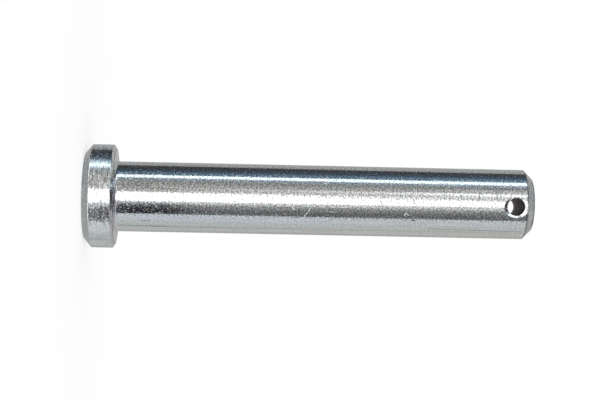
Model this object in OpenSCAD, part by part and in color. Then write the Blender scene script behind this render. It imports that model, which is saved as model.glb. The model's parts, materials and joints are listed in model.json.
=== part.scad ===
// Headed support pin with a countersunk cross hole near its tip, turned from one bar.
// The pin stands on its head: Z = 0 is the head's outer face, and +Z runs along the shank to the tip.

/* [Head] */
// Diameter of the head
head_d = 29.5; // [25:0.5:40]
// Thickness of the head, from its outer face to the seat under it
head_h = 8.8; // [6:0.1:14]
// Height of the chamfer round the outer face, along the pin
face_chamfer_h = 2.1; // [0.5:0.1:4]
// Width of the chamfer round the outer face, across the pin
face_chamfer_w = 2.5; // [0.5:0.1:4]
// Height of the bevel round the seat, along the pin
seat_bevel_h = 0.7; // [0.2:0.05:1.5]
// Width of the bevel round the seat, across the pin
seat_bevel_w = 1.15; // [0.2:0.05:2]

/* [Shank] */
// Diameter of the shank
shank_d = 20; // [12:0.5:24]
// Length of the shank, from the seat to the end face
shank_len = 119.2; // [60:0.1:200]
// Radius of the fillet where the shank meets the seat
neck_r = 0.95; // [0.2:0.05:2]
// Width and height of the chamfer round the tip
tip_chamfer = 2.4; // [0.5:0.1:4]

/* [Cross hole] */
// Diameter of the hole for a split pin or spring clip
hole_d = 5.1; // [2:0.1:7]
// Distance from the end face to the hole's axis
hole_from_tip = 5.6; // [4.5:0.1:30]
// Distance between the hole's axis and the pin's axis, as drilled
hole_offset = 0.7; // [0:0.1:2]
// Distance between the countersinks' axis and the pin's axis, as cut
countersink_offset = 1.25; // [0:0.05:2]
// Width by which the countersinks are wider than the hole, measured on the radius
countersink_w = 1.1; // [0.6:0.05:2]
// Angle of the countersinks, from side to side
countersink_angle = 110; // [80:5:120]

/* [Hidden] */
$fn = 128;
head_r = head_d / 2;
shank_r = shank_d / 2;
hole_r = hole_d / 2;
pin_len = head_h + shank_len;
// How far the hole's cutters reach from the pin's middle plane: 2 mm past the shank
cutter_reach = shank_r + 2;

// Half section of the head: outer face, chamfer, rim, bevel and seat
module head_section() {
    polygon([
        [0, 0],
        [head_r - face_chamfer_w, 0],
        [head_r, face_chamfer_h],
        [head_r, head_h - seat_bevel_h],
        [head_r - seat_bevel_w, head_h],
        [0, head_h]
    ]);
}

// Half section of the shank, from the seat to the chamfered tip
module shank_section() {
    translate([0, head_h])
        polygon([
            [0, 0],
            [shank_r, 0],
            [shank_r, shank_len - tip_chamfer],
            [shank_r - tip_chamfer, shank_len],
            [0, shank_len]
        ]);
}

// Half section of the ring of metal that the fillet leaves in the corner under the head
module neck_section() {
    difference() {
        translate([0, head_h])
            square([shank_r + neck_r, neck_r]);
        translate([shank_r + neck_r, head_h + neck_r])
            circle(neck_r);
    }
}

// The turned blank, before it is drilled
module blank() {
    rotate_extrude() {
        head_section();
        shank_section();
        neck_section();
    }
}

// Cutter for the straight bore of the cross hole
module bore_cutter() {
    translate([hole_offset, 0, pin_len - hole_from_tip])
        rotate([90, 0, 0])
            cylinder(h = 2 * cutter_reach, r = hole_r, center = true);
}

// Cutter for the countersink of the mouth on the -Y side: a cone that opens outwards
module countersink_cutter() {
    cone_start = shank_r - (hole_r + countersink_w) / tan(countersink_angle / 2);
    cone_h = cutter_reach - cone_start;
    translate([countersink_offset, -cone_start, pin_len - hole_from_tip])
        rotate([90, 0, 0])
            cylinder(h = cone_h, r1 = 0, r2 = cone_h * tan(countersink_angle / 2));
}

// The finished pin
module pin() {
    color("silver")
        difference() {
            blank();
            bore_cutter();
            countersink_cutter();
            mirror([0, 1, 0])
                countersink_cutter();
        }
}

pin();
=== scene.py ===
from collections import namedtuple
import json
import math

import bpy
from mathutils import Matrix, Vector


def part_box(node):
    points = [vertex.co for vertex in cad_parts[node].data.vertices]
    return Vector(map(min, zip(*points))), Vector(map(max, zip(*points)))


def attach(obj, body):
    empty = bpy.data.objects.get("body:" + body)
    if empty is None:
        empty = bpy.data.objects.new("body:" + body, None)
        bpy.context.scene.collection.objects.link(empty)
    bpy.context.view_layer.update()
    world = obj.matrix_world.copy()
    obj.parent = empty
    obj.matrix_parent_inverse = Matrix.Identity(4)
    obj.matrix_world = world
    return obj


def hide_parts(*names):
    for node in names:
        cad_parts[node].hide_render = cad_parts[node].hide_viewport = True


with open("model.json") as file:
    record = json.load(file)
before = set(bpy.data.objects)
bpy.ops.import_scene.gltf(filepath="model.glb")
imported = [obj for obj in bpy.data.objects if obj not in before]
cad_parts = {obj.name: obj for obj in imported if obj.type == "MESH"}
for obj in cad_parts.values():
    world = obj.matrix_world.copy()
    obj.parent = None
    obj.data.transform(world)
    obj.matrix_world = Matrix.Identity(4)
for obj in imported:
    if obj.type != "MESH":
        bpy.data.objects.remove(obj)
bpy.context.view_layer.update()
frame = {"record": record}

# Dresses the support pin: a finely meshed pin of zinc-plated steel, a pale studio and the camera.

MM = 0.001
MOUNTS = {mount["name"]: mount for mount in frame["record"]["mounts"]}

# Sizes that the frame gives
PIN_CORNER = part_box("pin")[1]
HEAD_R = PIN_CORNER.x
PIN_LEN = PIN_CORNER.z
HEAD_H = MOUNTS["head_seat"]["pos_m"][2]
SHANK_R = MOUNTS["shank"]["dims"]["r_mm"] * MM
HOLE_R = MOUNTS["cross_hole"]["dims"]["r_mm"] * MM
HOLE_X, HOLE_Y, HOLE_Z = MOUNTS["cross_hole"]["pos_m"]

# Sizes of the turned profile and of the countersinks, as in the part's source
FACE_CHAMFER_H = 2.1 * MM
FACE_CHAMFER_W = 2.5 * MM
SEAT_BEVEL_H = 0.7 * MM
SEAT_BEVEL_W = 1.15 * MM
NECK_R = 0.95 * MM
TIP_CHAMFER = 2.4 * MM
COUNTERSINK_X = 1.25 * MM
COUNTERSINK_W = 1.1 * MM
COUNTERSINK_ANGLE = math.radians(110)

# Broken edges, fineness of the mesh, and how far the hole's cutters reach from the shank's axis
EDGE_R = 0.15 * MM
ARC_STEPS = 4
PIN_SEGMENTS = 256
HOLE_SEGMENTS = 96
RING_STEP = 4 * MM
CUTTER_REACH = SHANK_R + 2 * MM

# Slots of the pin's mesh
PLATED, DRILLED, COUNTERSUNK = range(3)

# Strip along the pin where the plate has little grain, in mm round the shank from the camera's side
CLEAN_FROM = 5.6
CLEAN_TO = 16.0
CLEAN_SOFT = 0.8

# Noise of the materials: scale per mm, detail and roughness, and how much slower it changes along its marks
Pattern = namedtuple("Pattern", "scale detail roughness along", defaults=(0.5, 1.0))
NOISE_MIDDLE = 0.5
SPOTS = Pattern(1.9, 1.0)
SPECKLE = Pattern(2.0, 2.0, 0.6)
FLECKS = Pattern(2.1, 1.0)
CLOUDS = Pattern(0.8, 3.0, 0.6, 0.5)
RINGS = Pattern(1.6, 3.0, 0.7, 0.08)
FEED_MARKS = Pattern(3.2, 2.0, 0.6, 0.15)
STREAKS = Pattern(1.6, 2.0, 0.5, 0.05)
DRILL_MARKS = Pattern(0.45, 2.0, 0.6, 0.1)
DRILLED_GRAIN = Pattern(3.0, 2.0, 0.6)

# Noise values between which a pattern goes from one side to the other
GRAIN_RANGE = (0.38, 0.62)
TINT_RANGE = (0.36, 0.64)
WIDE_RANGE = (0.3, 0.7)
PIT_RANGE = (0.5, 0.7)
MOTTLE_RANGE = (0.44, 0.58)

# Depth of grain, feed marks and rings in the plate's tone, on the shank or head and in the strip of little
# grain, and the share of it that is left on some places
GRAIN_DEPTH = 0.95
GRAIN_DEPTH_CLEAN = 0.28
GRAIN_ON_HEAD = 0.55
GRAIN_ON_CHAMFERS = 0.6
FEED_DEPTH = 0.65
FEED_DEPTH_CLEAN = 0.2
FEED_ON_HEAD_CHAMFER = 0.4
RING_DEPTH = 0.12

# Factors on the plate's tone, and the highest tone
STREAK_TONES = (0.94, 1.05)
# Painted shade: the next factor darkens both chamfers
CHAMFER_PAINTED_SHADE_TONE = 0.86
SEAT_TONE = 1.25
# Painted shade: the next factor darkens stripes along the seat's edge and both edges of the tip's chamfer
EDGE_PAINTED_SHADE_TONE = 0.45
DARK_SCRATCH_TONE = 0.3
BRIGHT_SCRATCH_TONE = 1.15
HIGHEST_TONE = 1.28

# Colours of the plate: two that drift over the shank, the head's, the chamfers', and two factors for flecks
CLOUD_TINTS = (0.76, 0.735, 0.735), (0.725, 0.755, 0.735)
HEAD_TINT = (0.75, 0.755, 0.75)
CHAMFER_TINT = (0.73, 0.75, 0.765)
FLECK_TINTS = (1.02, 0.985, 0.995), (0.98, 1.01, 1.0)

# The collar's two colours, a painted reflection that is light on one side of the pin and lavender on the
# other, and where it turns from one to the other, in mm round the shank
COLLAR_PAINTED_REFLECTION_TINTS = (0.88, 0.90, 0.87), (0.76, 0.745, 0.80)
COLLAR_PAINTED_REFLECTION_TURN = (-10.0, 4.0)

# Roughness of the plate and of its pits, what the head adds to it, and that of bright scratches
PLATE_ROUGHNESS = 0.08
PIT_ROUGHNESS = 0.28
HEAD_ROUGHNESS = 0.06
SCRATCH_ROUGHNESS = 0.55

# The bore's wall, painted dark as the shade in the hole and lighter in its drill marks, with the share that
# the drill marks have in its mottle
DRILLED_SHADE_AND_MARK_TINTS = (0.03, 0.026, 0.027), (0.52, 0.47, 0.46)
DRILLED_ROUGHNESS = (0.45, 0.6)
DRILLED_SPECULAR = 0.15
DRILL_MARK_SHARE = 0.85

# Relief of the materials in mm
PIT_DEPTH = 0.004
RING_HEIGHT = 0.004
SCRATCH_DEPTH = 0.02
MOTTLE_HEIGHT = 0.02

# Reach in mm of each dark stripe of painted shade on both sides of an edge, and their softness
SEAT_LINE_IN = 0.2
SEAT_LINE_OUT = 0.25
TIP_LINE = 0.25
END_LINE_IN = 0.1
END_LINE_OUT = 0.4
LINE_SOFT = 0.05

# Softness in mm of the limits between the plate's zones, length of the head's fade into the shank, and how
# far the collar stops short of the fillet's end
ZONE_SOFT = 0.1
HEAD_FADE = 0.3
COLLAR_SHORT = 0.2

# Scratches, streaks and the mark on the end's edge: place at both ends, as degrees round the pin from the
# camera's side and mm along it, reach in mm on each side, and tone, from -1 for a dark groove to 1 for a
# bright burr. The core is the share of the reach that has the full tone.
SCRATCH_CORE = 0.5
Scratch = namedtuple("Scratch", "start_angle start_z end_angle end_z reach tone")
SCRATCHES = (
    Scratch(-33, 66.6, -27, 68.6, 0.16, 1.0),
    Scratch(-31, 67.0, -30, 68.2, 0.12, -0.8),
    Scratch(-49, 56.2, -40, 57.2, 0.14, 0.4),
    Scratch(-47, 58.5, -38, 59.3, 0.14, 0.4),
    Scratch(27, 62.4, 14, 63.8, 0.18, 0.8),
    Scratch(18, 69.0, 19, 71.0, 0.18, 0.6),
    Scratch(12, 58.9, 15, 59.3, 0.3, 1.0),
    Scratch(22, 90.6, 18, 91.1, 0.15, 1.0),
    Scratch(18, 91.1, 22, 91.7, 0.15, 1.0),
    Scratch(-1, 83.7, 4, 83.9, 0.2, -0.9),
    Scratch(-5, 93.0, 3, 93.2, 0.2, -0.8),
    Scratch(30, 92.8, 31, 93.6, 0.3, -0.9),
    Scratch(-26, 116.6, -3, 116.8, 0.17, -0.6),
    Scratch(-22, 117.8, -8, 117.8, 0.15, -0.6),
    Scratch(-18, 111.6, -6, 111.7, 0.18, -0.7),
    Scratch(-14, 106.4, -6, 106.6, 0.18, -0.6),
    Scratch(-75, 103.1, -74, 103.5, 0.3, -0.7),
    Scratch(48, 97.6, 51, 124.6, 0.2, -0.6),
    Scratch(32, 127.7, 48, 127.7, 0.3, -1.0),
    Scratch(-19, 10.4, -19, 19.0, 0.25, -0.5),
    Scratch(-15, 10.6, -14, 27.0, 0.25, -0.45),
    Scratch(42, 16.5, 42, 18.9, 0.3, -0.5),
    Scratch(54, 10.5, 55, 24.0, 0.2, -0.6),
    Scratch(56, 19.0, 57, 44.0, 0.2, -0.45),
    Scratch(65, 12.0, 64, 30.0, 0.2, -0.3),
)

# Camera, as the photograph was taken: nearly square to the pin, and turned so that the pin lies on its side.
# The roll comes on top of that quarter turn, and lens and sensor are in mm.
CAMERA_PLACE = Vector((0, -427.4, 42.5)) * MM
CAMERA_AIM = Vector((0, 0, 61.4)) * MM
CAMERA_ROLL = math.radians(1.19)
CAMERA_LENS = 89.25
SENSOR_WIDTH = 36

# Studio, with its radii in metres
FLOOR_R = 4.0
FLOOR_ALBEDO = 0.4
TENT_R = 0.8
TENT_RINGS = 32
STUDIO_SEGMENTS = 64
WHITE = (1, 1, 1, 1)
BACK_LIGHT = (0.46, 0.46, 0.46)
WHITE_LIGHT = (2.0, 2.0, 2.0)

# Panels of the light tent. Azimuth 0 is the camera's side, and positive azimuths turn towards +X.
# An edge has its azimuth in degrees where the pin's head mirrors it and where the tip does, and its softness.
# The light goes from one value to the other along the whole pin, or steps up close to the head.
# A later panel covers an earlier one. Some lie only where the head mirrors them, and some only where the
# tip's end of the shank does.
Edge = namedtuple("Edge", "head tip soft")
Panel = namedtuple("Panel", "start end head_light tip_light place", defaults=("whole",))

# Heights on the pin that mirror the step and the beginning of the tip's panels, and softness of the head's
STEP_FROM = 24 * MM
STEP_TO = 31 * MM
HEAD_SOFT = 2 * MM
TIP_FROM = 85 * MM
TIP_TO = 115 * MM
PANELS = (
    Panel(Edge(-152, -152, 3), Edge(-127, -122, 3), (0.41, 0.42, 0.43), (0.42, 0.44, 0.44)),
    Panel(Edge(-126, -121, 3), Edge(-83, -81, 4), (0.055, 0.058, 0.065), (0.06, 0.063, 0.07)),
    Panel(Edge(-104, -104, 8), Edge(-80, -77, 3), (0.055, 0.08, 0.11), (0.07, 0.10, 0.14)),
    Panel(Edge(-91, -90, 5), Edge(-77, -75, 2), (0.11, 0.175, 0.255), (0.155, 0.24, 0.345)),
    Panel(Edge(-87, -87, 4), Edge(-60, -60, 5), (0.42, 0.53, 0.64), (0.42, 0.53, 0.64), "head"),
    Panel(Edge(-83, -83, 3), Edge(-67, -67, 3), (1.0, 1.3, 1.45), (1.0, 1.3, 1.45), "head"),
    Panel(Edge(-66, -64, 3), Edge(-54, -54, 5), (0.29, 0.35, 0.43), (0.32, 0.41, 0.52)),
    Panel(Edge(-57, -57, 4), Edge(-40, -40, 4), (0.305, 0.315, 0.315), (0.295, 0.315, 0.315)),
    Panel(Edge(-43, -43, 4), Edge(-16, -8, 3), (0.43, 0.415, 0.395), (0.46, 0.475, 0.48)),
    Panel(Edge(-46, -46, 4), Edge(-8, -8, 3), (0.57, 0.58, 0.59), (0.57, 0.58, 0.59), "tip"),
    Panel(Edge(-60, -60, 5), Edge(-38, -38, 5), (0.42, 0.45, 0.455), (0.42, 0.45, 0.455), "head"),
    Panel(Edge(-31.5, -32, 2), Edge(-25, -24, 2), (0.45, 0.45, 0.46), (1.2, 1.22, 1.24)),
    Panel(Edge(-32, -32, 2), Edge(-22.5, -22.5, 2), (1.7, 1.72, 1.74), (1.7, 1.72, 1.74), "tip"),
    Panel(Edge(-23, -23, 3), Edge(-10, -4, 2), (0.51, 0.52, 0.53), (0.68, 0.69, 0.70), "step"),
    Panel(Edge(-19.5, -19.5, 2), Edge(-4, -4, 3), (0.79, 0.80, 0.81), (0.79, 0.80, 0.81), "tip"),
    Panel(Edge(-75.4, -75.4, 2), Edge(-67.5, -64.7, 2.5), (1.7, 2.05, 2.15), (1.6, 1.95, 2.1)),
    Panel(Edge(14, 14, 2), Edge(57, 57, 1.2), (0.015, 0.018, 0.026), (0.16, 0.165, 0.17), "step"),
    Panel(Edge(14, 14, 2), Edge(36, 36, 9), (0.065, 0.07, 0.08), (0.31, 0.32, 0.33), "step"),
    Panel(Edge(18, 18, 6), Edge(56, 56, 4), (0.20, 0.21, 0.215), (0.20, 0.21, 0.215), "head"),
    Panel(Edge(12, 12, 2), Edge(22, 23, 5), (0.51, 0.55, 0.58), (0.72, 0.74, 0.75), "step"),
    Panel(Edge(-15, -15.5, 3), Edge(12.8, 11, 3), WHITE_LIGHT, (0.61, 0.62, 0.63)),
    Panel(Edge(-8, -8, 3), Edge(12.8, 11, 3), WHITE_LIGHT, (1.7, 1.71, 1.72)),
    Panel(Edge(57, 57, 1.2), Edge(88, 88, 8), (0.61, 0.675, 0.74), (0.625, 0.65, 0.675)),
    Panel(Edge(57, 57, 4), Edge(90, 90, 6), (0.68, 0.70, 0.695), (0.68, 0.70, 0.695), "head"),
    Panel(Edge(86, 86, 8), Edge(106, 106, 1), (0.56, 0.60, 0.61), (0.58, 0.61, 0.61)),
    Panel(Edge(106, 106, 1), Edge(117, 117, 2), (0.47, 0.50, 0.50), (0.52, 0.54, 0.51)),
    Panel(Edge(116, 116, 2), Edge(141, 141, 2), (0.565, 0.585, 0.575), (0.56, 0.57, 0.55)),
    Panel(Edge(141, 141, 2), Edge(153, 153, 2), (0.455, 0.47, 0.465), (0.46, 0.47, 0.455)),
)

# The tent's top and bottom, and the elevations in degrees between which they begin
POLE_LIGHT = (0.42, 0.42, 0.42)
POLE_FROM = 86
POLE_TO = 89

# Cards below and above the panels, between azimuths and elevations in degrees. The countersink's right and
# lower part mirrors the white ones, and its left part and the fillet mirror the grey and dark ones.
Card = namedtuple("Card", "start end low high soft light")
CARDS = (
    Card(-85, 66, -74, -18, 5, WHITE_LIGHT),
    Card(-78, -64, 20, 50, 3, WHITE_LIGHT),
    Card(-50, -14, 23, 64, 4, (0.22, 0.24, 0.23)),
    Card(-14, 12, 46, 64, 4, (0.34, 0.34, 0.35)),
    Card(16, 58, 22, 60, 4, (0.54, 0.53, 0.59)),
    Card(60, 95, 46, 62, 4, (0.14, 0.135, 0.16)),
    Card(-50, 95, 58, 83, 4, (0.08, 0.08, 0.09)),
)


class Graph:
    """Builds a node tree: each method adds nodes, and all but add return an output socket or sockets."""

    # Places of the colour sockets on a Mix node
    MIX_INPUTS = (6, 7)
    MIX_OUTPUT = 2

    def __init__(self, tree):
        self.tree = tree

    def add(self, kind, inputs=None, **settings):
        """A new node with its settings, and with its inputs linked or set."""
        made = self.tree.nodes.new(kind)
        for name, value in settings.items():
            setattr(made, name, value)
        for name, value in (inputs or {}).items():
            if isinstance(value, bpy.types.NodeSocket):
                self.tree.links.new(value, made.inputs[name])
            else:
                made.inputs[name].default_value = value
        return made

    def math(self, operation, *values):
        return self.add("ShaderNodeMath", dict(enumerate(values)), operation=operation).outputs[0]

    def fold(self, operation, *values):
        """Values joined one after the other by a math operation."""
        total = values[0]
        for value in values[1:]:
            total = self.math(operation, total, value)
        return total

    def sum(self, *values):
        return self.fold("ADD", *values)

    def product(self, *values):
        return self.fold("MULTIPLY", *values)

    def length(self, *values):
        """Length of a vector with two or more parts."""
        return self.math("SQRT", self.sum(*[self.math("MULTIPLY", value, value) for value in values]))

    def azimuth(self, x, y):
        """Angle about Z in radians, from the camera's side towards +X."""
        return self.math("ARCTAN2", x, self.math("MULTIPLY", y, -1.0))

    def ramp(self, value, low, high, to_low=0.0, to_high=1.0, kind="SMOOTHSTEP"):
        """A step from to_low to to_high while value goes from low to high, smooth unless kind says LINEAR."""
        inputs = {"Value": value, "From Min": low, "From Max": high, "To Min": to_low, "To Max": to_high}
        return self.add("ShaderNodeMapRange", inputs, interpolation_type=kind).outputs["Result"]

    def inside(self, value, low, high, soft):
        """One between low and high, with soft edges."""
        rise = self.ramp(value, low - soft, low + soft)
        fall = self.ramp(value, high - soft, high + soft, 1.0, 0.0)
        return self.math("MULTIPLY", rise, fall)

    def fade(self, share, none, whole):
        """A number that goes from none to whole as a share goes from 0 to 1."""
        return self.ramp(share, 0.0, 1.0, none, whole)

    def swing(self, value, depth):
        """One, plus a depth times what a value has above noise's middle."""
        return self.math("MULTIPLY_ADD", self.math("SUBTRACT", value, NOISE_MIDDLE), depth, 1.0)

    def mix(self, factor, first, second, blend="MIX"):
        """Mixes two colours, each a socket or three numbers."""
        made = self.add("ShaderNodeMix", {"Factor": factor}, data_type="RGBA", blend_type=blend)
        for place, value in zip(self.MIX_INPUTS, (first, second)):
            if isinstance(value, bpy.types.NodeSocket):
                self.tree.links.new(value, made.inputs[place])
            else:
                made.inputs[place].default_value = (*value, 1)
        return made.outputs[self.MIX_OUTPUT]

    def scaled(self, vector, factor):
        """A vector or colour times a number."""
        inputs = {0: vector, "Scale": factor}
        return self.add("ShaderNodeVectorMath", inputs, operation="SCALE").outputs[0]

    def noise(self, vector, pattern):
        inputs = {
            "Vector": vector,
            "Scale": pattern.scale,
            "Detail": pattern.detail,
            "Roughness": pattern.roughness,
        }
        return self.add("ShaderNodeTexNoise", inputs).outputs[0]

    def bump(self, height):
        """Normal of a relief with its height in mm."""
        inputs = {"Strength": 1.0, "Distance": MM, "Height": height}
        return self.add("ShaderNodeBump", inputs).outputs[0]

    def vector(self, x, y, z):
        return self.add("ShaderNodeCombineXYZ", {"X": x, "Y": y, "Z": z}).outputs[0]

    def split(self, vector):
        return self.add("ShaderNodeSeparateXYZ", {"Vector": vector}).outputs


def new_material(name):
    """An empty node material and its graph."""
    material = bpy.data.materials.new(name)
    material.use_nodes = True
    material.node_tree.nodes.clear()
    return material, Graph(material.node_tree)


def shown_rays(graph):
    """One for camera, glossy and transmission rays, and none for the others."""
    path = graph.add("ShaderNodeLightPath").outputs
    kinds = ("Is Camera Ray", "Is Glossy Ray", "Is Transmission Ray")
    return graph.fold("MAXIMUM", *[path[kind] for kind in kinds])


def rounded(corners):
    """Outline of (point, normal) pairs: each corner (radius, height, rounding) becomes an arc."""
    outline = []
    for i, (x, y, rounding) in enumerate(corners):
        here = Vector((x, y))
        if i in (0, len(corners) - 1):
            other = Vector(corners[1 if i == 0 else i - 1][:2])
            along = (other - here) if i == 0 else (here - other)
            outline.append((here, right_of(along)))
            continue
        before = (here - Vector(corners[i - 1][:2])).normalized()
        after = (Vector(corners[i + 1][:2]) - here).normalized()
        turn = before.angle_signed(after)
        start = here - before * rounding * math.tan(abs(turn) / 2)
        side = 1 if turn < 0 else -1
        centre = start - right_of(before) * rounding * side
        for step in range(ARC_STEPS + 1):
            normal = right_of(before)
            normal.rotate(Matrix.Rotation(-turn * step / ARC_STEPS, 2))
            outline.append((centre + normal * rounding * side, normal))
    return outline


def right_of(direction):
    """Unit vector to the right of a direction, which is outwards on an outline that runs upwards."""
    return Vector((direction.y, -direction.x)).normalized()


def with_rings(outline, step):
    """The outline with points added so that none of its straight runs is longer than step."""
    dense = [outline[0]]
    for (start, _), (end, normal) in zip(outline, outline[1:]):
        pieces = max(1, math.ceil((end - start).length / step))
        for k in range(1, pieces + 1):
            share = k / pieces
            smooth = outline_normal(outline, start.lerp(end, share)) if k < pieces else normal
            dense.append((start.lerp(end, share), smooth))
    return dense


def outline_normal(outline, point):
    """The outline's normal at the place nearest to a point."""
    best, found = math.inf, None
    for (start, first), (end, second) in zip(outline, outline[1:]):
        along = end - start
        if along.length_squared == 0:
            continue
        share = min(1, max(0, (point - start).dot(along) / along.length_squared))
        distance = (start + along * share - point).length_squared
        if distance < best:
            best, found = distance, first.lerp(second, share).normalized()
    return found


def revolve(name, points, segments):
    """A mesh object made by turning points of (radius, height) about Z, in the order that they have."""
    verts, rings = [], []
    for point in points:
        count = segments if point.x > 0 else 1
        rings.append(range(len(verts), len(verts) + count))
        for k in range(count):
            angle = 2 * math.pi * k / segments
            verts.append((point.x * math.cos(angle), point.x * math.sin(angle), point.y))
    faces = []
    for low, high in zip(rings, rings[1:]):
        for k in range(segments):
            after = (k + 1) % segments
            corners = [low[k % len(low)], low[after % len(low)], high[after % len(high)], high[k % len(high)]]
            faces.append(tuple(dict.fromkeys(corners)))
    mesh = bpy.data.meshes.new(name)
    mesh.from_pydata(verts, [], faces)
    mesh.update()
    made = bpy.data.objects.new(name, mesh)
    bpy.context.scene.collection.objects.link(made)
    return made


def pin_corners():
    """Half section of the pin: radius, height and rounding of each corner, from the outer face to the tip."""
    return [
        (0, 0, 0),
        (HEAD_R - FACE_CHAMFER_W, 0, EDGE_R),
        (HEAD_R, FACE_CHAMFER_H, EDGE_R),
        (HEAD_R, HEAD_H - SEAT_BEVEL_H, EDGE_R),
        (HEAD_R - SEAT_BEVEL_W, HEAD_H, EDGE_R),
        (SHANK_R, HEAD_H, NECK_R),
        (SHANK_R, PIN_LEN - TIP_CHAMFER, EDGE_R),
        (SHANK_R - TIP_CHAMFER, PIN_LEN, EDGE_R),
        (0, PIN_LEN, 0),
    ]


def bore_corners():
    """Half section of the cutter for the straight bore."""
    return [
        (0, -CUTTER_REACH, 0),
        (HOLE_R, -CUTTER_REACH, EDGE_R),
        (HOLE_R, CUTTER_REACH, EDGE_R),
        (0, CUTTER_REACH, 0),
    ]


def countersink_corners():
    """Half section of the cutter for one countersink: a cone that opens outwards."""
    slope = math.tan(COUNTERSINK_ANGLE / 2)
    cone_start = SHANK_R - (HOLE_R + COUNTERSINK_W) / slope
    return [
        (0, cone_start, 0),
        ((CUTTER_REACH - cone_start) * slope, CUTTER_REACH, EDGE_R),
        (0, CUTTER_REACH, 0),
    ]


def across(x, quarter_turns):
    """Frame of a hole's axis at a distance x from the pin's axis: one quarter turn faces it to -Y."""
    return Matrix.Translation((x, HOLE_Y, HOLE_Z)) @ Matrix.Rotation(math.pi / 2 * quarter_turns, 4, "X")


def cut(blank, outline, place, slot):
    """Takes a turned cutter out of the blank, and puts the faces that it leaves in a slot."""
    cutter = revolve("cutter", [point for point, _ in outline], HOLE_SEGMENTS)
    cutter.matrix_world = place
    for face in cutter.data.polygons:
        face.material_index = slot
    boolean = blank.modifiers.new("cut", "BOOLEAN")
    boolean.object = cutter
    boolean.operation = "DIFFERENCE"
    boolean.solver = "EXACT"
    boolean.material_mode = "INDEX"
    depsgraph = bpy.context.evaluated_depsgraph_get()
    mesh = bpy.data.meshes.new_from_object(blank.evaluated_get(depsgraph))
    blank.modifiers.clear()
    blank.data = mesh
    bpy.data.objects.remove(cutter)


def turned_normal(outline, place):
    """Normal of a turned surface about Z at a place on it."""
    radius = math.hypot(place.x, place.y)
    outward, along = outline_normal(outline, Vector((radius, place.z)))
    if radius == 0:
        return Vector((0, 0, along))
    return Vector((outward * place.x / radius, outward * place.y / radius, along))


def mouth(hole_frame):
    """Where a hole's axis leaves the shank, on the side that its frame faces."""
    return hole_frame.translation + hole_frame.col[2].to_3d() * SHANK_R


def cut_normal(outline, hole_frames, place):
    """Normal that a turned cutter leaves at a place, for the frame of its use whose mouth is nearest."""
    nearest = min(hole_frames, key=lambda hole_frame: (mouth(hole_frame) - place).length)
    return -(nearest.to_3x3() @ turned_normal(outline, nearest.inverted() @ place))


def set_true_normals(piece, normal_of):
    """Gives each face corner the normal of the surface that its face's slot stands for."""
    normals = []
    known = {}
    for face in piece.data.polygons:
        for vertex in face.vertices:
            key = (face.material_index, vertex)
            if key not in known:
                known[key] = normal_of[face.material_index](piece.data.vertices[vertex].co)
            normals.append(known[key])
    piece.data.shade_smooth()
    piece.data.normals_split_custom_set(normals)


def point_in_mm(graph):
    """The point on the pin in millimetres."""
    return graph.scaled(graph.add("ShaderNodeTexCoord").outputs["Object"], 1 / MM)


def pin_places(graph):
    """Places on the pin in mm: the point, the way round from the camera's side, the height and the radius."""
    point = point_in_mm(graph)
    x, y, z = graph.split(point)
    around = graph.math("MULTIPLY", graph.azimuth(x, y), SHANK_R / MM)
    return point, around, z, graph.length(x, y)


def scratch_share(graph, around, z, scratch):
    """A scratch's strength on it and none beside it."""
    to_around = math.radians(1) * SHANK_R / MM
    start = Vector((scratch.start_angle * to_around, scratch.start_z))
    run = Vector((scratch.end_angle * to_around, scratch.end_z)) - start
    from_start = [graph.math("SUBTRACT", place, begin) for place, begin in zip((around, z), start)]
    along_run = graph.sum(*[graph.math("MULTIPLY", part, step) for part, step in zip(from_start, run)])
    share = graph.ramp(along_run, 0.0, run.length_squared, kind="LINEAR")
    off = [graph.math("MULTIPLY_ADD", share, -step, part) for part, step in zip(from_start, run)]
    near = graph.ramp(graph.length(*off), scratch.reach * SCRATCH_CORE, scratch.reach, 1.0, 0.0)
    return graph.math("MULTIPLY", near, abs(scratch.tone))


def scratches(graph, around, z):
    """Shares of the bright and of the dark scratches."""
    shares = {True: 0.0, False: 0.0}
    for scratch in SCRATCHES:
        bright = scratch.tone > 0
        share = scratch_share(graph, around, z, scratch)
        shares[bright] = graph.math("MAXIMUM", shares[bright], share)
    return shares[True], shares[False]


Zones = namedtuple("Zones", "head head_chamfer chamfers collar seat lines")


def plate_zones(graph, z, radius):
    """Shares of the head, of its chamfer, of both chamfers, of the collar that bevel, seat and fillet make,
    of the seat, and of the dark stripes of painted shade along three edges."""
    neck_z = (HEAD_H + NECK_R) / MM
    tip_edge_z = (PIN_LEN - TIP_CHAMFER) / MM
    seat_edge_r = (HEAD_R - SEAT_BEVEL_W) / MM
    end_edge_r = (SHANK_R - TIP_CHAMFER) / MM
    head = graph.ramp(z, neck_z - HEAD_FADE, neck_z, 1.0, 0.0)
    head_chamfer = graph.ramp(z, FACE_CHAMFER_H / MM - ZONE_SOFT, FACE_CHAMFER_H / MM, 1.0, 0.0)
    tip_chamfer = graph.ramp(z, tip_edge_z, tip_edge_z + ZONE_SOFT)
    chamfers = graph.math("MAXIMUM", head_chamfer, tip_chamfer)
    collar = graph.inside(z, (HEAD_H - SEAT_BEVEL_H) / MM, neck_z - COLLAR_SHORT, ZONE_SOFT)
    seat = graph.inside(radius, (SHANK_R + NECK_R) / MM, seat_edge_r - SEAT_LINE_IN, ZONE_SOFT)
    # Painted shade: dark stripes along the seat's edge and along both edges of the tip's chamfer
    seat_line = graph.inside(radius, seat_edge_r - SEAT_LINE_IN, seat_edge_r + SEAT_LINE_OUT, LINE_SOFT)
    tip_line = graph.inside(z, tip_edge_z - TIP_LINE, tip_edge_z + TIP_LINE, LINE_SOFT)
    end_line = graph.inside(radius, end_edge_r - END_LINE_IN, end_edge_r + END_LINE_OUT, LINE_SOFT)
    lines = graph.fold(
        "MAXIMUM",
        graph.product(seat_line, collar),
        tip_line,
        graph.product(end_line, tip_chamfer),
    )
    return Zones(head, head_chamfer, chamfers, collar, graph.product(seat, collar), lines)


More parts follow.
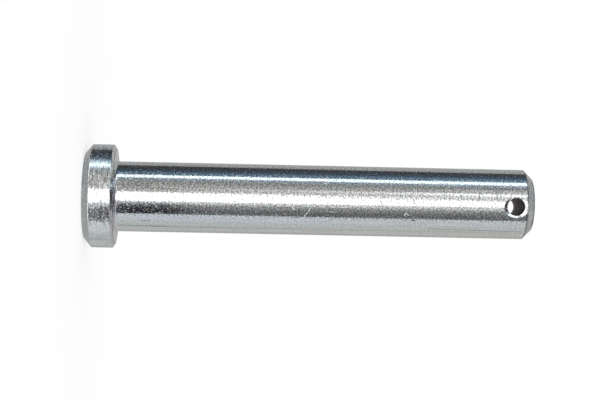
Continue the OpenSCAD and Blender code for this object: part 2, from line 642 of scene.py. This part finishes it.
def plate_tint(graph, point, around, z, radius, zones):
    """Colour of the plate without its tone."""
    fleck = graph.noise(point, FLECKS)
    cloud_place = graph.vector(around, graph.math("MULTIPLY", z, CLOUDS.along), radius)
    cloud = graph.noise(cloud_place, CLOUDS)
    tint = graph.mix(graph.ramp(cloud, *TINT_RANGE), *CLOUD_TINTS)
    tint = graph.mix(zones.head, tint, HEAD_TINT)
    tint = graph.mix(zones.chamfers, tint, CHAMFER_TINT)
    # Painted reflection on bevel, seat and fillet: light on one side of the pin, lavender on the other
    collar = graph.mix(graph.ramp(around, *COLLAR_PAINTED_REFLECTION_TURN), *COLLAR_PAINTED_REFLECTION_TINTS)
    tint = graph.mix(zones.collar, tint, collar)
    flecks = graph.mix(graph.ramp(fleck, *TINT_RANGE), *FLECK_TINTS)
    return graph.mix(1.0, tint, flecks, "MULTIPLY")


def steel():
    """Zinc plate: fine grain, faint tints, turning marks round the pin, streaks along it and scratches, with
    painted shade on the chamfers and along three edges and a painted reflection on the collar.
    """
    material, graph = new_material("zinc_plated_steel")
    point, around, z, radius = pin_places(graph)
    zones = plate_zones(graph, z, radius)
    bright, dark = scratches(graph, around, z)
    spots = graph.noise(point, SPOTS)
    speckle = graph.noise(graph.vector(around, z, radius), SPECKLE)
    ring_place = graph.vector(radius, z, graph.math("MULTIPLY", around, RINGS.along))
    rings = graph.noise(ring_place, RINGS)
    feed_place = graph.vector(radius, z, graph.math("MULTIPLY", around, FEED_MARKS.along))
    feed_marks = graph.noise(feed_place, FEED_MARKS)
    streak_place = graph.vector(around, graph.math("MULTIPLY", z, STREAKS.along), radius)
    streaks = graph.noise(streak_place, STREAKS)

    clean_strip = graph.inside(around, CLEAN_FROM, CLEAN_TO, CLEAN_SOFT)
    grain_depth = graph.product(
        graph.fade(clean_strip, GRAIN_DEPTH, GRAIN_DEPTH_CLEAN),
        graph.fade(zones.head, 1.0, GRAIN_ON_HEAD),
        graph.fade(zones.chamfers, 1.0, GRAIN_ON_CHAMFERS),
    )
    feed_depth = graph.product(
        zones.head,
        graph.fade(clean_strip, FEED_DEPTH, FEED_DEPTH_CLEAN),
        graph.fade(zones.head_chamfer, 1.0, FEED_ON_HEAD_CHAMFER),
    )
    tone = graph.product(
        graph.swing(graph.ramp(speckle, *GRAIN_RANGE), grain_depth),
        graph.swing(graph.ramp(feed_marks, *GRAIN_RANGE), feed_depth),
        graph.ramp(streaks, *WIDE_RANGE, *STREAK_TONES),
        graph.swing(rings, RING_DEPTH),
        # Painted shade on both chamfers
        graph.fade(zones.chamfers, 1.0, CHAMFER_PAINTED_SHADE_TONE),
        graph.fade(zones.seat, 1.0, SEAT_TONE),
        # Painted shade along three edges
        graph.fade(zones.lines, 1.0, EDGE_PAINTED_SHADE_TONE),
        graph.fade(dark, 1.0, DARK_SCRATCH_TONE),
        graph.fade(bright, 1.0, BRIGHT_SCRATCH_TONE),
    )
    tint = plate_tint(graph, point, around, z, radius, zones)
    plate_roughness = graph.sum(
        graph.ramp(spots, *PIT_RANGE, PLATE_ROUGHNESS, PIT_ROUGHNESS),
        graph.math("MULTIPLY", zones.head, HEAD_ROUGHNESS),
    )
    scratch_roughness = graph.math("MULTIPLY", bright, SCRATCH_ROUGHNESS)
    height = graph.sum(
        graph.ramp(spots, *PIT_RANGE, 0.0, -PIT_DEPTH),
        graph.math("MULTIPLY", rings, RING_HEIGHT),
        graph.math("MULTIPLY", graph.math("ADD", bright, dark), -SCRATCH_DEPTH),
    )
    shader = graph.add("ShaderNodeBsdfPrincipled", {
        "Base Color": graph.scaled(tint, graph.math("MINIMUM", tone, HIGHEST_TONE)),
        "Metallic": 1.0,
        "Roughness": graph.math("MAXIMUM", plate_roughness, scratch_roughness),
        "Normal": graph.bump(height),
    })
    graph.add("ShaderNodeOutputMaterial", {"Surface": shader.outputs[0]})
    return material


def drilled_steel():
    """Bare steel inside the bore: dull, painted dark as the shade in the hole, with drill marks round it."""
    material, graph = new_material("drilled_steel")
    point = point_in_mm(graph)
    x, y, z = graph.split(point)
    along_marks = [graph.math("MULTIPLY", part, DRILL_MARKS.along) for part in (x, z)]
    marks = graph.noise(graph.vector(along_marks[0], y, along_marks[1]), DRILL_MARKS)
    grain = graph.noise(point, DRILLED_GRAIN)
    mottle = graph.sum(
        graph.math("MULTIPLY", marks, DRILL_MARK_SHARE),
        graph.math("MULTIPLY", grain, 1 - DRILL_MARK_SHARE),
    )
    # Not metallic: the camera sees the wall so flatly that a metal's reflections would hide the marks
    shader = graph.add("ShaderNodeBsdfPrincipled", {
        # Painted shade of the hole, lighter in the drill marks
        "Base Color": graph.mix(graph.ramp(mottle, *MOTTLE_RANGE), *DRILLED_SHADE_AND_MARK_TINTS),
        "Metallic": 0.0,
        "Specular IOR Level": DRILLED_SPECULAR,
        "Roughness": graph.ramp(grain, *WIDE_RANGE, *DRILLED_ROUGHNESS),
        "Normal": graph.bump(graph.math("MULTIPLY", mottle, MOTTLE_HEIGHT)),
    })
    graph.add("ShaderNodeOutputMaterial", {"Surface": shader.outputs[0]})
    return material


def make_pin():
    """The whole pin, drilled, with its materials."""
    pin_outline = with_rings(rounded(pin_corners()), RING_STEP)
    bore_outline = rounded(bore_corners())
    cone_outline = rounded(countersink_corners())
    piece = revolve("steel_pin", [point for point, _ in pin_outline], PIN_SEGMENTS)
    plate = steel()
    for material in (plate, drilled_steel(), plate):
        piece.data.materials.append(material)
    bore_frame = across(HOLE_X, 1)
    cone_frames = [across(COUNTERSINK_X, 1), across(COUNTERSINK_X, -1)]
    cut(piece, bore_outline, bore_frame, DRILLED)
    for cone_frame in cone_frames:
        cut(piece, cone_outline, cone_frame, COUNTERSUNK)
    set_true_normals(piece, {
        PLATED: lambda place: turned_normal(pin_outline, place),
        DRILLED: lambda place: cut_normal(bore_outline, [bore_frame], place),
        COUNTERSUNK: lambda place: cut_normal(cone_outline, cone_frames, place),
    })
    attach(piece, "root")
    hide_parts("pin")


def make_floor():
    """A pale floor that shows white and keeps the pin's soft shadow."""
    floor = revolve("floor", [Vector((0, 0)), Vector((FLOOR_R, 0))], STUDIO_SEGMENTS)
    material, graph = new_material("pale_floor")
    diffuse = graph.add("ShaderNodeBsdfDiffuse", {"Color": (FLOOR_ALBEDO,) * 3 + (1,)}).outputs[0]
    lift = graph.math("MULTIPLY", shown_rays(graph), 1 - FLOOR_ALBEDO)
    glow = graph.add("ShaderNodeEmission", {"Color": WHITE, "Strength": lift}).outputs[0]
    both = graph.add("ShaderNodeAddShader", {0: diffuse, 1: glow}).outputs[0]
    graph.add("ShaderNodeOutputMaterial", {"Surface": both})
    material.cycles.emission_sampling = "NONE"
    floor.data.materials.append(material)
    floor.visible_glossy = False


def make_world():
    """A white surrounding at a strength of one, which lights the floor and the bore and is the background."""
    world = bpy.data.worlds.new("studio")
    bpy.context.scene.world = world
    world.use_nodes = True
    world.node_tree.nodes.clear()
    graph = Graph(world.node_tree)
    surround = graph.add("ShaderNodeBackground", {"Color": WHITE, "Strength": 1.0}).outputs[0]
    graph.add("ShaderNodeOutputWorld", {"Surface": surround})
    world.cycles.sampling_method = "NONE"


def mirrored(z):
    """Height on the tent, from its middle, that the shank mirrors to the camera at a height z."""
    slope = (z - CAMERA_PLACE.z) / (-CAMERA_PLACE.y - SHANK_R)
    return z + TENT_R * slope - PIN_LEN / 2


def edge_step(graph, azimuth, towards_tip, edge):
    """A smooth step at a panel's edge, which may lean from the head's end to the tip's."""
    if edge.head == edge.tip:
        return graph.ramp(azimuth, edge.head - edge.soft, edge.head + edge.soft)
    lean = graph.math("MULTIPLY_ADD", towards_tip, edge.tip - edge.head, edge.head)
    return graph.ramp(graph.math("SUBTRACT", azimuth, lean), -edge.soft, edge.soft)


def tent_light(graph):
    """Light of the tent by azimuth, height and elevation."""
    x, y, z = graph.split(graph.add("ShaderNodeTexCoord").outputs["Object"])
    azimuth = graph.math("DEGREES", graph.azimuth(x, y))
    elevation = graph.math("DEGREES", graph.math("ARCTAN2", z, graph.length(x, y)))
    towards_tip = graph.ramp(z, mirrored(HEAD_H), mirrored(PIN_LEN), kind="LINEAR")
    past_step = graph.ramp(z, mirrored(STEP_FROM), mirrored(STEP_TO))
    reach = {
        "head": graph.ramp(z, mirrored(HEAD_H) - HEAD_SOFT, mirrored(HEAD_H) + HEAD_SOFT, 1.0, 0.0),
        "tip": graph.ramp(z, mirrored(TIP_FROM), mirrored(TIP_TO)),
    }
    light = BACK_LIGHT
    for panel in PANELS:
        rise = edge_step(graph, azimuth, towards_tip, panel.start)
        fall = graph.math("SUBTRACT", 1.0, edge_step(graph, azimuth, towards_tip, panel.end))
        share = graph.product(rise, fall, reach.get(panel.place, 1.0))
        along = past_step if panel.place == "step" else towards_tip
        light = graph.mix(share, light, graph.mix(along, panel.head_light, panel.tip_light))
    pole = graph.ramp(graph.math("ABSOLUTE", elevation), POLE_FROM, POLE_TO)
    light = graph.mix(pole, light, POLE_LIGHT)
    for card in CARDS:
        share = graph.product(
            graph.inside(azimuth, card.start, card.end, card.soft),
            graph.inside(elevation, card.low, card.high, card.soft),
        )
        light = graph.mix(share, light, card.light)
    return light


def make_tent():
    """A round light tent of panels and cards about the pin, which only its metal shows."""
    turns = [math.pi * k / TENT_RINGS for k in range(1, TENT_RINGS)]
    side = [Vector((TENT_R * math.sin(turn), -TENT_R * math.cos(turn))) for turn in turns]
    bottom = Vector((0, -TENT_R))
    top = Vector((0, TENT_R))
    tent = revolve("light_tent", [bottom, *side, top], STUDIO_SEGMENTS)
    tent.location = (0, 0, PIN_LEN / 2)
    material, graph = new_material("tent_panels")
    glow = graph.add("ShaderNodeEmission", {"Color": tent_light(graph), "Strength": 1.0}).outputs[0]
    graph.add("ShaderNodeOutputMaterial", {"Surface": glow})
    material.cycles.emission_sampling = "NONE"
    tent.data.materials.append(material)
    tent.visible_camera = False
    tent.visible_diffuse = False
    tent.visible_shadow = False
    tent.visible_transmission = False


def make_camera():
    """The camera where the photograph was taken, with +Z to its right but for the roll."""
    camera = bpy.data.objects.new("camera", bpy.data.cameras.new("camera"))
    bpy.context.scene.collection.objects.link(camera)
    camera.data.lens = CAMERA_LENS
    camera.data.sensor_width = SENSOR_WIDTH
    back = (CAMERA_PLACE - CAMERA_AIM).normalized()
    level = (Vector((0, 0, 1)) - back * back.z).normalized()
    right = Matrix.Rotation(CAMERA_ROLL, 3, back) @ level
    up = back.cross(right)
    turn = Matrix((right, up, back)).transposed()
    camera.matrix_world = Matrix.Translation(CAMERA_PLACE) @ turn.to_4x4()
    bpy.context.scene.camera = camera


make_pin()
make_floor()
make_world()
make_tent()
make_camera()
bpy.context.scene.view_settings.view_transform = "Standard"
